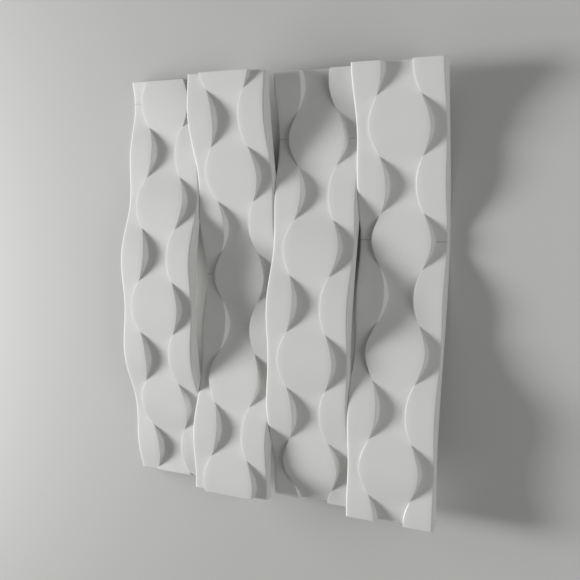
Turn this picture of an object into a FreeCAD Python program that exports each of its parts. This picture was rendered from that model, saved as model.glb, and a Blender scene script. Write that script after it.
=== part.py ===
import FreeCAD, Part
import math
import os

# Wall panel tile: four upright ribbons side by side, each waving out from the
# wall and back once over the height of the tile. Lengths are in millimetres.
# The tile lies on its back: X runs across the ribbons from left to right,
# Y runs up the wall and Z comes out of the wall. The origin is on the wall
# face, under the middle of the tile.

# Tile and ribbons
tile_height = 600.0
ribbon_width = 120.0
ribbon_count = 4
ribbon_thickness = 16.0
wave_depth = 42.0

# Height up the tile at which each ribbon meets the wall, left to right
trough_heights = (568.5, 316.0, 510.0, 375.0)

# Woven relief on each front: the middle band swells into ovals and narrows to
# necks, and stands over the side bands at the ovals and under them at the necks
oval_pitch = 150.0
step_height = 10.4

# Half the middle band's width where the bands are level, how much it swings to
# both sides of that, and how much wider it is than that at ovals and at necks
band_half_width = 28.7
band_swing = 11.1
band_fullness = 1.35

# How far the steps lean back from foot to top where they are highest
step_run = 1.5

# Rounding of the long front edges
edge_radius = 3.5

# Depth taken off the back where a ribbon meets the wall, to make a flat
flat_depth = 0.5

# Length of each ribbon past the tile's ends before the ends are cut square
end_allowance = 12.0

# Points that carry each wavy curve over one pitch of the ovals
points_per_pitch = 12

# Widest gap between two faces that are joined into one skin
joining_gap = 0.001


def back_height(along):
    """Height of a ribbon's back over its trough, at a distance up from it."""
    turn = 2.0 * math.pi * along / tile_height
    return wave_depth * (1.0 - math.cos(turn)) / 2.0


def back_slope(along):
    """Slope of the ribbon's back at a distance up from its trough."""
    turn = 2.0 * math.pi * along / tile_height
    return wave_depth * math.pi / tile_height * math.sin(turn)


def weave(along):
    """Swing of the relief, 1 at an oval's middle and -1 at a neck's."""
    return math.cos(2.0 * math.pi * along / oval_pitch)


def side_level(along):
    """Thickness of the ribbon at its side bands."""
    return ribbon_thickness - step_height / 2.0 * weave(along)


def middle_level(along):
    """Thickness of the ribbon at its middle band."""
    return ribbon_thickness + step_height / 2.0 * weave(along)


def band_reach(along):
    """Half the width of the middle band."""
    swing = weave(along)
    return band_half_width + band_swing * swing + band_fullness * swing**2


def step_lean(along):
    """Half the distance a step leans back, none where the bands are level."""
    return step_run / 2.0 * weave(along) ** 2


def curve_places(trough):
    """Evenly spaced distances from the trough that carry the ribbon's curves."""
    half_pitch = oval_pitch / 2.0
    spacing = oval_pitch / points_per_pitch
    lowest = math.floor((-trough - end_allowance) / half_pitch) * half_pitch
    highest = math.ceil((tile_height - trough + end_allowance) / half_pitch) * half_pitch
    count = round((highest - lowest) / spacing)
    return [lowest + number * spacing for number in range(count + 1)]


def wavy_curve(trough, across, level):
    """Smooth curve up the ribbon, set square to its back at a given level."""
    points = []
    places = curve_places(trough)
    for along in places:
        slope = back_slope(along)
        stretch = math.sqrt(1.0 + slope * slope)
        thickness = level(along)
        up = trough + along - thickness * slope / stretch
        out = back_height(along) + thickness / stretch - flat_depth
        points.append(FreeCAD.Vector(across(along), up, out))
    curve = Part.BSplineCurve()
    curve.interpolate(Points=points, Parameters=places)
    return curve


def sheet(first, second):
    """Face of straight lines between two edges that run alike."""
    return Part.makeRuledSurface(first, second)


def flat_side(upper, lower):
    """Plane face between two edges that lie in one upright plane."""
    closing = [
        Part.makeLine(upper.value(place), lower.value(place))
        for place in (upper.FirstParameter, upper.LastParameter)
    ]
    outline = [upper.toShape(), lower.toShape()] + closing
    return Part.Face(Part.Wire(Part.__sortEdges__(outline)))


def walls(side, middle, places):
    """Step faces between two borders, one for each oval and each neck."""
    quarter = oval_pitch / 4.0
    crossings = [place for place in places if place / quarter % 2.0 == 1.0]
    ends = [places[0]] + crossings + [places[-1]]
    faces = []
    for start, end in zip(ends, ends[1:]):
        faces.append(sheet(side.toShape(start, end), middle.toShape(start, end)))
    return faces


def rounding(foot, corner, top):
    """Quarter-round surface from a ribbon's side to its front."""
    rows = [foot.getPoles(), corner.getPoles(), top.getPoles()]
    count = foot.NbPoles
    weights = [[1.0] * count, [math.sqrt(0.5)] * count, [1.0] * count]
    surface = Part.BSplineSurface()
    surface.buildFromPolesMultsKnots(
        rows,
        [3, 3],
        foot.getMultiplicities(),
        [0.0, 1.0],
        foot.getKnots(),
        False,
        False,
        2,
        foot.Degree,
        weights,
    )
    return surface


def make_ribbon(left, trough):
    """One ribbon, longer than the tile and with its back still full."""
    right = left + ribbon_width
    middle = left + ribbon_width / 2.0
    places = curve_places(trough)

    def at_left(along):
        return left

    def at_right(along):
        return right

    def inside_left(along):
        return left + edge_radius

    def inside_right(along):
        return right - edge_radius

    def left_side_border(along):
        return middle - band_reach(along) - step_lean(along)

    def right_side_border(along):
        return middle + band_reach(along) + step_lean(along)

    def left_middle_border(along):
        return middle - band_reach(along) + step_lean(along)

    def right_middle_border(along):
        return middle + band_reach(along) - step_lean(along)

    def on_back(along):
        return 0.0

    def under_rounding(along):
        return side_level(along) - edge_radius

    back_left = wavy_curve(trough, at_left, on_back)
    back_right = wavy_curve(trough, at_right, on_back)
    foot_left = wavy_curve(trough, at_left, under_rounding)
    foot_right = wavy_curve(trough, at_right, under_rounding)
    corner_left = wavy_curve(trough, at_left, side_level)
    corner_right = wavy_curve(trough, at_right, side_level)
    front_left = wavy_curve(trough, inside_left, side_level)
    front_right = wavy_curve(trough, inside_right, side_level)
    side_left = wavy_curve(trough, left_side_border, side_level)
    side_right = wavy_curve(trough, right_side_border, side_level)
    middle_left = wavy_curve(trough, left_middle_border, middle_level)
    middle_right = wavy_curve(trough, right_middle_border, middle_level)

    round_left = rounding(foot_left, corner_left, front_left)
    round_right = rounding(foot_right, corner_right, front_right)

    skin = [round_left.toShape(), round_right.toShape()]
    skin += [flat_side(foot_left, back_left), flat_side(foot_right, back_right)]
    across = (
        (back_left, back_right),
        (front_left, side_left),
        (middle_left, middle_right),
        (side_right, front_right),
    )
    for first, second in across:
        skin.append(sheet(first.toShape(), second.toShape()))
    skin += walls(side_left, middle_left, places)
    skin += walls(side_right, middle_right, places)

    front_line = (
        front_left,
        side_left,
        middle_left,
        middle_right,
        side_right,
        front_right,
    )
    under_line = (foot_right, back_right, back_left, foot_left)
    for place in (places[0], places[-1]):
        outline = [round_left.vIso(place).toShape(), round_right.vIso(place).toShape()]
        for line in (front_line, under_line):
            corners = [curve.value(place) for curve in line]
            outline += [Part.makeLine(a, b) for a, b in zip(corners, corners[1:])]
        skin.append(Part.Face(Part.Wire(Part.__sortEdges__(outline))))

    body = Part.makeCompound(skin)
    body.sewShape(joining_gap)
    return Part.Solid(body.Shells[0])


tile_width = ribbon_count * ribbon_width
room_over = wave_depth + ribbon_thickness + step_height
low_corner = FreeCAD.Vector(-tile_width / 2.0, 0.0, 0.0)
space = Part.makeBox(tile_width, tile_height, room_over, low_corner)

# Each ribbon is cut square at the tile's ends and flat where it meets the
# wall, then joined to its neighbour wherever their sides touch
tile = None
for number in range(ribbon_count):
    left = number * ribbon_width - tile_width / 2.0
    ribbon = make_ribbon(left, trough_heights[number]).common(space)
    tile = ribbon if tile is None else tile.fuse(ribbon)
tile.translate(FreeCAD.Vector(0.0, -tile_height / 2.0, 0.0))

os.makedirs("parts", exist_ok=True)
tile.exportStep("parts/tile.step")

box = tile.optimalBoundingBox()
print("solids", len(tile.Solids), "valid", tile.isValid(), "faces", len(tile.Faces))
print("size", round(box.XLength, 3), round(box.YLength, 3), round(box.ZLength, 3))
print("lowest", round(box.ZMin, 4), "volume in litres", round(tile.Volume / 1.0e6, 3))
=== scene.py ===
import math

import bmesh
import bpy
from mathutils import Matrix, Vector


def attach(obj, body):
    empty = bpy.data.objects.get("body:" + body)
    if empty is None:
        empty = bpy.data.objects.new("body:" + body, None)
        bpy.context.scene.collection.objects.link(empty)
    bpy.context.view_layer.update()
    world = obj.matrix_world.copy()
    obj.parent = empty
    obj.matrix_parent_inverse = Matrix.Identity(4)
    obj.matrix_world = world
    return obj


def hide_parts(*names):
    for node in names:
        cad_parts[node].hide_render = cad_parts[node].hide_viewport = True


# Wall panel tile of four waving ribbons, lying on its back on a pale floor.
# Lengths are in metres. X runs across the ribbons, Y up the wall and Z out of it.

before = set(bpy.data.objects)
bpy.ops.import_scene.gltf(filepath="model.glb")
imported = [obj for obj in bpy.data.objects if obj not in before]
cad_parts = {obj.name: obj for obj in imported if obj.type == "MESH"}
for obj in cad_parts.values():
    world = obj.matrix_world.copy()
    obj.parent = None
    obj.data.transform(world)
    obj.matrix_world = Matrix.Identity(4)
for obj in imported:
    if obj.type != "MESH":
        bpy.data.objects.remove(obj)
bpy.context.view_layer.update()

MM = 0.001

# Sizes of the tile and its ribbons
TILE_HEIGHT = 600 * MM
RIBBON_WIDTH = 120 * MM
HALF_RIBBON = RIBBON_WIDTH / 2
RIBBON_THICKNESS = 16 * MM
WAVE_DEPTH = 42 * MM

# Height up the tile at which each ribbon meets the wall, left to right, and the
# depth of the flat on which it rests there
TROUGH_HEIGHTS = (568.5 * MM, 316 * MM, 510 * MM, 375 * MM)
FLAT_DEPTH = 0.5 * MM

# Woven relief: pitch of the ovals, height of the steps and how far they lean back
OVAL_PITCH = 150 * MM
STEP_HEIGHT = 10.4 * MM
STEP_RUN = 1.5 * MM

# Half the middle band's width where the bands are level, how much it swings to
# both sides of that, and how much wider it is than that at ovals and at necks
BAND_HALF_WIDTH = 28.7 * MM
BAND_SWING = 11.1 * MM
BAND_FULLNESS = 1.35 * MM

# Rounding of the long front edges, tight enough to catch only a line of light
EDGE_RADIUS = 2.6 * MM

# The cast edges of the steps: a short bend at the top, a hollow at the foot, and
# the smallest share of both, where the bands are level
STEP_TOP_BEND = 0.3 * MM
STEP_FOOT_BEND = 1.2 * MM
LEAST_BEND = 0.15

# A high band droops a little before its edge
DROOP_DEPTH = 0.42 * MM
DROOP_WIDTH = 8.5 * MM

# Hairline across the side bands where each ribbon is nearest the wall
HAIRLINE_HALF_WIDTH = 0.45 * MM
HAIRLINE_DEPTH = 1.1 * MM

# Small roundings of the long back edges and of the cut ends
BACK_EASE = 0.8 * MM
END_EASE = 0.5 * MM

# Straight strip of a ribbon's side wall, just under its rounded front edge
STRAIGHT_STRIP = 0.4 * MM

# Fineness of the mesh: spacing of the cross-sections up a ribbon, and how many
# steps each part of a cross-section has
SECTION_SPACING = 2.5 * MM
BACK_EASE_STEPS = 3
EDGE_STEPS = 5
FLAT_STEPS = 4
DROOP_STEPS = 5
STEP_STEPS = 12
END_EASE_STEPS = 2

# Where the droop and the flat of a side band end, as shares of its width in from
# the long edge
DROOP_END = 0.3
FLAT_END = 0.6

# Points nearer than this are one point, and an edge that climbs less is level
SAME_POINT = 0.001 * MM
SAME_HEIGHT = 0.01 * MM

# Rounds after which a point's place along its waving ribbon is settled
PLACING_ROUNDS = 8


def weave(along):
    """Swing of the relief, 1 at an oval's middle and -1 at a neck's."""
    return math.cos(2 * math.pi * along / OVAL_PITCH)


def band_reach(along):
    """Half the width of the middle band, halfway up the step."""
    swing = weave(along)
    return BAND_HALF_WIDTH + BAND_SWING * swing + BAND_FULLNESS * swing**2


def step_lean(along):
    """Half the distance a step leans back, none where the bands are level."""
    return STEP_RUN / 2 * weave(along) ** 2


def hairline(along):
    """Depth of the hairline at a distance up from the ribbon's trough."""
    return HAIRLINE_DEPTH * max(0.0, 1 - abs(along) / HAIRLINE_HALF_WIDTH)


def side_level(along):
    """Thickness of the ribbon at its side bands."""
    return RIBBON_THICKNESS - STEP_HEIGHT / 2 * weave(along) - hairline(along)


def middle_level(along):
    """Thickness of the ribbon at its middle band."""
    return RIBBON_THICKNESS + STEP_HEIGHT / 2 * weave(along)


def bend_share(along):
    """Share of the bends' full size, small where the bands are level."""
    return max(LEAST_BEND, math.sqrt(abs(weave(along))))


def side_bend(along):
    """How far the step's bend spreads over the side band."""
    size = STEP_TOP_BEND if weave(along) < 0 else STEP_FOOT_BEND
    return size * bend_share(along)


def middle_bend(along):
    """How far the step's bend spreads over the middle band."""
    size = STEP_FOOT_BEND if weave(along) < 0 else STEP_TOP_BEND
    return size * bend_share(along)


def droop(gap, depth):
    """Fall of a high band at a distance from its edge."""
    return depth * max(0.0, 1 - gap / DROOP_WIDTH) ** 2


def side_band(along, across):
    """Point of the side band at a distance from the ribbon's middle line."""
    step_depth = DROOP_DEPTH * max(0.0, -weave(along))
    fall = droop(across - band_reach(along) - step_lean(along), step_depth)
    fall += droop(HALF_RIBBON - across, DROOP_DEPTH)
    return across, side_level(along) - fall


def middle_band(along, across):
    """Point of the middle band at a distance from the ribbon's middle line."""
    step_depth = DROOP_DEPTH * max(0.0, weave(along))
    fall = droop(band_reach(along) - step_lean(along) - across, step_depth)
    return across, middle_level(along) - fall


def bend(first, corner, last, share):
    """Point of a smooth bend between two slopes that meet at a corner."""
    rest = 1 - share
    return [
        rest * rest * a + 2 * rest * share * b + share * share * c
        for a, b, c in zip(first, corner, last)
    ]


# The next functions each draw one part of half a cross-section. They give how far
# a point lies from the ribbon's middle line and how thick the ribbon is there, for
# a distance along the ribbon and a share of the way through the part.


def back_point(along, share):
    """Point of the back, from the middle line at 0 to near the side wall at 1."""
    return share * (HALF_RIBBON - 2 * BACK_EASE), 0.0


def back_edge_point(along, share):
    """Point of the eased edge, from the back at 0 to the side wall at 1."""
    turn = math.pi / 2 * share
    across = HALF_RIBBON - BACK_EASE * (1 - math.sin(turn))
    return across, BACK_EASE * (1 - math.cos(turn))


def wall_foot_point(along):
    """Point near the foot of the side wall."""
    return HALF_RIBBON, 2 * BACK_EASE


def front_edge_point(along, share):
    """Point of the rounded long edge, from the side wall at 0 to the front at 1."""
    turn = math.pi / 2 * share
    top = side_level(along) - droop(EDGE_RADIUS, DROOP_DEPTH)
    across = HALF_RIBBON - EDGE_RADIUS * (1 - math.cos(turn))
    return across, top - EDGE_RADIUS * (1 - math.sin(turn))


def wall_top_point(along):
    """Point of the side wall, a straight strip under its rounded edge."""
    across, level = front_edge_point(along, 0.0)
    return across, level - STRAIGHT_STRIP


def side_point(along, part, share):
    """Point of the side band: part 0 droops from the long edge, part 1 is its
    flat, and part 2 runs up to the step."""
    outer = HALF_RIBBON - EDGE_RADIUS
    inner = band_reach(along) + step_lean(along) + side_bend(along)
    width = outer - inner
    stops = (outer, outer - width * DROOP_END, outer - width * FLAT_END, inner)
    across = stops[part] + (stops[part + 1] - stops[part]) * share
    return side_band(along, across)


def step_point(along, share):
    """Point of the step, from the side band at 0 to the middle band at 1."""
    outer = band_reach(along) + step_lean(along)
    inner = band_reach(along) - step_lean(along)
    side_corner = side_band(along, outer)
    middle_corner = middle_band(along, inner)
    halfway = [(a + b) / 2 for a, b in zip(side_corner, middle_corner)]
    if share < 0.5:
        side = side_band(along, outer + side_bend(along))
        return bend(side, side_corner, halfway, share * 2)
    middle = middle_band(along, inner - middle_bend(along))
    return bend(halfway, middle_corner, middle, share * 2 - 1)


def middle_point(along, part, share):
    """Point of the middle band: part 0 droops to the step, part 1 is its flat."""
    outer = band_reach(along) - step_lean(along) - middle_bend(along)
    stops = (outer, outer - DROOP_WIDTH, 0.0)
    across = stops[part] + (stops[part + 1] - stops[part]) * share
    return middle_band(along, across)


def half_section():
    """Half of a ribbon's cross-section, from the middle of its back round to the
    middle of its front: for each point, the part that it is on and where on it."""
    even = [number / FLAT_STEPS for number in range(FLAT_STEPS)]
    close_first = [(number / DROOP_STEPS) ** 2 for number in range(DROOP_STEPS)]
    close_last = [1 - (1 - number / DROOP_STEPS) ** 2 for number in range(DROOP_STEPS)]
    points = [(back_point, 0.0), (back_point, 1.0)]
    for number in range(BACK_EASE_STEPS + 1):
        points.append((back_edge_point, number / BACK_EASE_STEPS))
    points += [(wall_foot_point,), (wall_top_point,)]
    for number in range(EDGE_STEPS):
        points.append((front_edge_point, number / EDGE_STEPS))
    for part, shares in enumerate((close_first, even, close_last)):
        points += [(side_point, part, share) for share in shares]
    for number in range(STEP_STEPS):
        points.append((step_point, number / STEP_STEPS))
    for part, shares in enumerate((close_first, even)):
        points += [(middle_point, part, share) for share in shares]
    points.append((middle_point, 1, 1.0))
    return points


def back_height(along):
    """Height of a ribbon's back over its trough, at a distance up from it."""
    turn = 2 * math.pi * along / TILE_HEIGHT
    return WAVE_DEPTH * (1 - math.cos(turn)) / 2


def back_slope(along):
    """Slope of the ribbon's back at a distance up from its trough."""
    turn = 2 * math.pi * along / TILE_HEIGHT
    return WAVE_DEPTH * math.pi / TILE_HEIGHT * math.sin(turn)


def placed(point, side, middle, trough, up):
    """Place on the tile of a cross-section's point at a height up the tile. The
    section stands square to the waving back, so that a point's own thickness
    decides how far along the ribbon it belongs."""
    part, *where = point
    along = up - trough
    for _ in range(PLACING_ROUNDS):
        slope = back_slope(along)
        across, level = part(along, *where)
        along = up - trough + level * slope / math.sqrt(1 + slope * slope)
    slope = back_slope(along)
    across, level = part(along, *where)
    out = back_height(along) + level / math.sqrt(1 + slope * slope) - FLAT_DEPTH
    return Vector((middle + side * across, up - TILE_HEIGHT / 2, max(out, 0.0)))


def section_heights(trough):
    """Heights up the tile where the ribbon's cross-section is drawn: evenly
    spaced, apart from the three that draw the hairline."""
    count = round(TILE_HEIGHT / SECTION_SPACING)
    even = [TILE_HEIGHT * number / count for number in range(count + 1)]
    line = [trough - HAIRLINE_HALF_WIDTH, trough, trough + HAIRLINE_HALF_WIDTH]
    clear = [up for up in even if abs(up - trough) > 2 * HAIRLINE_HALF_WIDTH]
    return sorted(clear + line)


def mark_hairline(mesh, middle, trough):
    """Keep the edges that run along the ribbon's hairline sharp in the shading."""
    for edge in mesh.edges:
        ups = [vert.co.y + TILE_HEIGHT / 2 - trough for vert in edge.verts]
        across = max(abs(vert.co.x - middle) for vert in edge.verts)
        on_ribbon = across <= HALF_RIBBON + SAME_HEIGHT
        level = max(ups) - min(ups) < SAME_HEIGHT
        near = max(map(abs, ups)) < 2 * HAIRLINE_HALF_WIDTH
        if on_ribbon and level and near:
            edge.smooth = False


def add_ribbon(mesh, middle, trough):
    """One ribbon: a grid bent to the cross-sections and sewn along its back."""
    points = half_section()
    right = [(point, 1) for point in points]
    left = [(point, -1) for point in reversed(points)]
    ring = right + left[1:]
    heights = section_heights(trough)
    grid = bmesh.ops.create_grid(
        mesh, x_segments=len(ring) - 1, y_segments=len(heights) - 1, size=0.5
    )
    rows = []
    for row, up in enumerate(heights):
        verts = grid["verts"][row * len(ring) : (row + 1) * len(ring)]
        for vert, (point, side) in zip(verts, ring):
            vert.co = placed(point, side, middle, trough, up)
        rows.append(verts)
    back_line = [verts[0] for verts in rows] + [verts[-1] for verts in rows]
    bmesh.ops.remove_doubles(mesh, verts=back_line, dist=SAME_POINT)
    mark_hairline(mesh, middle, trough)


def add_piece(mesh, name):
    """Turn a finished mesh into a piece of the scene."""
    data = bpy.data.meshes.new(name)
    mesh.to_mesh(data)
    mesh.free()
    piece = bpy.data.objects.new(name, data)
    bpy.context.scene.collection.objects.link(piece)
    return piece


def cast_tile():
    """The whole tile: its ribbons side by side, with their cut ends closed and
    eased."""
    mesh = bmesh.new()
    for number, trough in enumerate(TROUGH_HEIGHTS):
        middle = (number - (len(TROUGH_HEIGHTS) - 1) / 2) * RIBBON_WIDTH
        add_ribbon(mesh, middle, trough)
    end_edges = [edge for edge in mesh.edges if edge.is_boundary]
    bmesh.ops.holes_fill(mesh, edges=end_edges, sides=0)
    bmesh.ops.bevel(
        mesh,
        geom=end_edges,
        offset=END_EASE,
        offset_type="OFFSET",
        segments=END_EASE_STEPS,
        profile=0.5,
        affect="EDGES",
        material=-1,
        clamp_overlap=True,
    )
    bmesh.ops.recalc_face_normals(mesh, faces=mesh.faces)
    for face in mesh.faces:
        face.smooth = True
    return add_piece(mesh, "plaster_tile")


def linear(hex_colour):
    """A hex colour as seen on a screen, turned into linear light."""
    parts = [int(hex_colour[i : i + 2], 16) / 255 for i in (1, 3, 5)]
    light = [p / 12.92 if p <= 0.04045 else ((p + 0.055) / 1.055) ** 2.4 for p in parts]
    return (*light, 1.0)


def add_node(tree, kind, inputs, **settings):
    """A node with its settings. An input is a value or another node's output."""
    node = tree.nodes.new(kind)
    for name, value in settings.items():
        setattr(node, name, value)
    for name, value in inputs.items():
        if isinstance(value, bpy.types.NodeSocket):
            tree.links.new(value, node.inputs[name])
        else:
            node.inputs[name].default_value = value
    return node


def empty_material(name):
    """A material whose nodes are still to be added."""
    material = bpy.data.materials.new(name)
    material.use_nodes = True
    material.node_tree.nodes.clear()
    return material


# Gypsum plaster cast in a smooth mould. It looks chalk white, even and quite matt.
# It dries a little unevenly, which clouds its tone and its shine very faintly over
# a few centimetres.
CLOUD_SIZE = 55 * MM
CLOUD_DARK = "#DADAD8"
CLOUD_LIGHT = "#DEDEDC"
LEAST_ROUGHNESS = 0.84
MOST_ROUGHNESS = 0.96

# Its grain takes away the last gloss. Real grain is under 0.2 mm and too fine to
# show, so it is drawn this coarse, and nearly flat.
GRAIN_SIZE = 1.8 * MM
GRAIN_HEIGHT = 0.02 * MM

# Here and there an air bubble against the mould leaves a pinhole
PINHOLE_SPACING = 26 * MM
PINHOLE_RADIUS = 0.45 * MM
PINHOLE_DEPTH = 0.3 * MM


def cast_plaster():
    material = empty_material("cast_plaster")
    tree = material.node_tree
    where = add_node(tree, "ShaderNodeTexCoord", {}).outputs["Object"]
    cloud = add_node(
        tree,
        "ShaderNodeTexNoise",
        {"Vector": where, "Scale": 1 / CLOUD_SIZE, "Detail": 3.0, "Roughness": 0.5},
    )
    tone = add_node(
        tree,
        "ShaderNodeMixRGB",
        {
            "Fac": cloud.outputs["Fac"],
            "Color1": linear(CLOUD_DARK),
            "Color2": linear(CLOUD_LIGHT),
        },
    )
    dryness = add_node(
        tree,
        "ShaderNodeMapRange",
        {
            "Value": cloud.outputs["Fac"],
            "To Min": LEAST_ROUGHNESS,
            "To Max": MOST_ROUGHNESS,
        },
    )
    grain = add_node(
        tree,
        "ShaderNodeTexNoise",
        {"Vector": where, "Scale": 1 / GRAIN_SIZE, "Detail": 4.0, "Roughness": 0.6},
    )
    grain_relief = add_node(
        tree,
        "ShaderNodeBump",
        {"Height": grain.outputs["Fac"], "Distance": GRAIN_HEIGHT, "Strength": 1.0},
    )
    bubbles = add_node(
        tree,
        "ShaderNodeTexVoronoi",
        {"Vector": where, "Scale": 1 / PINHOLE_SPACING},
    )
    pinhole = add_node(
        tree,
        "ShaderNodeMapRange",
        {
            "Value": bubbles.outputs["Distance"],
            "From Max": PINHOLE_RADIUS / PINHOLE_SPACING,
        },
        interpolation_type="SMOOTHSTEP",
    )
    relief = add_node(
        tree,
        "ShaderNodeBump",
        {
            "Height": pinhole.outputs["Result"],
            "Distance": PINHOLE_DEPTH,
            "Strength": 1.0,
            "Normal": grain_relief.outputs["Normal"],
        },
    )
    shader = add_node(
        tree,
        "ShaderNodeBsdfPrincipled",
        {
            "Base Color": tone.outputs["Color"],
            "Roughness": dryness.outputs["Result"],
            "Normal": relief.outputs["Normal"],
        },
    )
    add_node(tree, "ShaderNodeOutputMaterial", {"Surface": shader.outputs["BSDF"]})
    return material


def matt_floor_paint():
    """Pale paint, matt and even, so that only the tile's shadow shows on it."""
    material = empty_material("matt_floor_paint")
    tree = material.node_tree
    shader = add_node(
        tree,
        "ShaderNodeBsdfPrincipled",
        {"Base Color": linear("#C4C4C2"), "Roughness": 0.9},
    )
    add_node(tree, "ShaderNodeOutputMaterial", {"Surface": shader.outputs["BSDF"]})
    return material


tile = cast_tile()
tile.data.materials.append(cast_plaster())
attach(tile, "root")
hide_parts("tile")

# Pale floor, so wide that its edge is far from the tile
FLOOR_REACH = 6.0

floor_mesh = bmesh.new()
bmesh.ops.create_grid(floor_mesh, x_segments=1, y_segments=1, size=FLOOR_REACH)
floor = add_piece(floor_mesh, "floor")
floor.data.materials.append(matt_floor_paint())

# The camera looks down on the tile from over its right edge
camera_data = bpy.data.cameras.new("camera")
camera_data.lens = 45.617
camera = bpy.data.objects.new("camera", camera_data)
camera.location = (0.4353, 0.14618, 0.95661)
camera.rotation_mode = "ZXY"
camera.rotation_euler = (-0.14018, 0.4163, -0.00074)
bpy.context.scene.collection.objects.link(camera)
bpy.context.scene.camera = camera


def light_from(lamp, toward):
    """Turn a lamp so that its light comes from a direction, and switch it on."""
    lamp.rotation_mode = "QUATERNION"
    lamp.rotation_quaternion = toward.to_track_quat("Z", "Y")
    bpy.context.scene.collection.objects.link(lamp)


def light_panel(name, location, size, watts):
    """Soft square-cornered lamp that faces the middle of the tile."""
    data = bpy.data.lights.new(name, "AREA")
    data.shape = "RECTANGLE"
    data.size, data.size_y = size
    data.energy = watts
    panel = bpy.data.objects.new(name, data)
    panel.location = location
    light_from(panel, Vector(location))


# Low, soft light from the left: a broad beam, and a panel near the tile that
# makes the left ribbons a little brighter than the right ones
BEAM_STRENGTH = 2.7
BEAM_SPREAD = math.radians(15)
BEAM_CLIMB = math.radians(19.5)

beam_data = bpy.data.lights.new("left_beam", "SUN")
beam_data.energy = BEAM_STRENGTH
beam_data.angle = BEAM_SPREAD
beam = bpy.data.objects.new("left_beam", beam_data)
light_from(beam, Vector((-math.cos(BEAM_CLIMB), 0.0, math.sin(BEAM_CLIMB))))

light_panel("left_panel", location=(-1.2, 0.0, 0.46), size=(1.0, 0.35), watts=9.5)

# Weaker light from a panel further off on the right, which fills the shadows
light_panel("right_panel", location=(1.5, 0.0, 1.0), size=(1.7, 0.85), watts=8.4)

# The studio round the floor looks pale, also where it is mirrored, but adds only a
# little even light
STUDIO_LIGHT = 0.16

world = bpy.data.worlds.new("studio")
bpy.context.scene.world = world
world.use_nodes = True
studio = world.node_tree
studio.nodes.clear()
glow = add_node(
    studio,
    "ShaderNodeBackground",
    {"Color": linear("#FFFFFF"), "Strength": STUDIO_LIGHT},
)
seen = add_node(
    studio,
    "ShaderNodeBackground",
    {"Color": linear("#D9D9D7"), "Strength": 1.0},
)
path = add_node(studio, "ShaderNodeLightPath", {})
seen_or_mirrored = add_node(
    studio,
    "ShaderNodeMath",
    {0: path.outputs["Is Camera Ray"], 1: path.outputs["Is Glossy Ray"]},
    operation="MAXIMUM",
)
looks = add_node(
    studio,
    "ShaderNodeMath",
    {0: seen_or_mirrored.outputs["Value"], 1: path.outputs["Is Transmission Ray"]},
    operation="MAXIMUM",
)
choice = add_node(
    studio,
    "ShaderNodeMixShader",
    {
        "Fac": looks.outputs["Value"],
        1: glow.outputs["Background"],
        2: seen.outputs["Background"],
    },
)
add_node(studio, "ShaderNodeOutputWorld", {"Surface": choice.outputs["Shader"]})

bpy.context.scene.view_settings.view_transform = "Standard"
